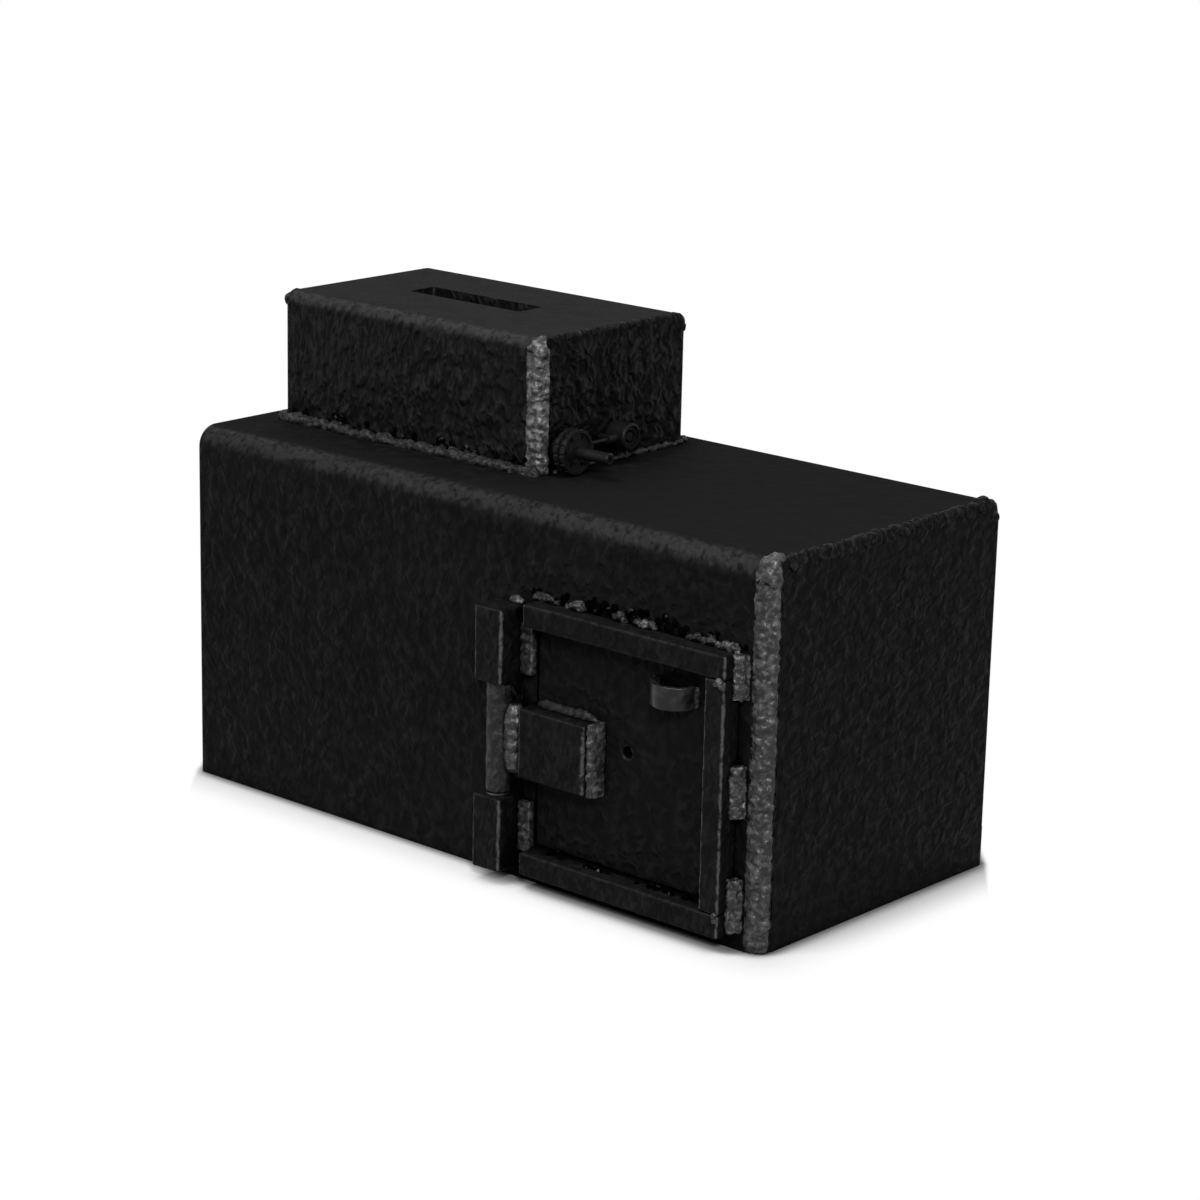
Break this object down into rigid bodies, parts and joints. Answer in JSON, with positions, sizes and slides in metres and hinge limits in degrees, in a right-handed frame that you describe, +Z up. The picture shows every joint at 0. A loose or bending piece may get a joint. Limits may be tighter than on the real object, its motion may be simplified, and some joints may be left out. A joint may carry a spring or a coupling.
{
  "type": "deposit safe",
  "caption": "Welded steel deposit safe: long vault box with a slotted chute head, a hinged plate door in a bar frame and a key-locked deposit flap",
  "frame": {"origin": "middle of the underside of the vault box, on the surface it stands on", "axes": "+X along the box towards the hinged door's lock side, +Y to the back, +Z up"},
  "size_m": [0.413, 0.213, 0.2765],
  "materials": {
    "painted": "rough textured black coating",
    "weld": "black coating over rough weld",
    "machined": "oiled machined steel",
    "plated": "dull zinc plating"
  },
  "bodies": {
    "safe": {"body_shell": "painted", "end_plate_left": "painted", "end_plate_right": "painted", "bottom_plate": "painted", "back_bar": "painted", "head_shell": "painted", "head_end_left": "painted", "head_end_right": "painted", "slot_guard": "painted", "frame_top_bar": "painted", "frame_right_bar": "painted", "frame_bottom_bar": "painted", "hinge_block_upper": "painted", "hinge_block_lower": "painted", "door_stop_top": "painted", "door_stop_right": "painted", "door_stop_bottom": "painted", "end_weld_left": "weld", "end_weld_right": "weld", "body_corner_weld": "weld", "head_weld_left": "weld", "head_weld_right": "weld", "head_corner_weld": "weld", "head_base_weld": "weld", "frame_welds": "weld", "hinge_block_welds": "weld", "hinge_pin": "machined", "thrust_washer": "machined", "spindle_bush_right": "machined", "spindle_bush_left": "machined", "index_pointer": "machined", "side_lock_barrel": "plated", "side_lock_nut": "plated"},
    "door": {"door_plate": "painted", "hinge_barrel": "painted", "hinge_strap": "painted", "barrel_weld": "weld", "strap_welds": "weld", "finger_pull": "painted", "pull_welds": "weld", "lock_front_plate": "machined", "lock_case": "machined", "lock_screws": "plated"},
    "bolt": {"lock_bolt": "machined"},
    "pinion": {"lock_pinion": "machined"},
    "flap": {"flap_spindle": "machined", "deposit_flap": "machined", "flap_catch": "machined", "index_disc": "machined"},
    "side_lock": {"side_lock_plug": "plated", "side_lock_cam": "machined", "side_lock_cam_screw": "plated"}
  },
  "joints": [
    {"name": "door_hinge", "type": "hinge", "parent": "safe", "child": "door", "pos_m": [0.0365, -0.105, 0.0793], "axis": [0, 0, -1], "range_deg": [0, 175]},
    {"name": "pinion_turn", "type": "hinge", "parent": "door", "child": "pinion", "pos_m": [0.1171, -0.07915, 0.0862], "axis": [0, 1, 0], "range_deg": [0, 78]},
    {"name": "bolt_slide", "type": "slide", "parent": "door", "child": "bolt", "axis": [1, 0, 0], "range_m": [0, 0.012]},
    {"name": "flap_turn", "type": "hinge", "parent": "safe", "child": "flap", "pos_m": [-0.0595, -0.0305, 0.21575], "axis": [-1, 0, 0], "range_deg": [0, 74]},
    {"name": "side_lock_turn", "type": "hinge", "parent": "safe", "child": "side_lock", "pos_m": [0.0055, 0.0135, 0.21725], "axis": [1, 0, 0], "range_deg": [0, 90]}
  ],
  "couplings": [
    {"joint": "pinion_turn", "follows": "bolt_slide", "rad_per_m": 111.11}
  ]
}
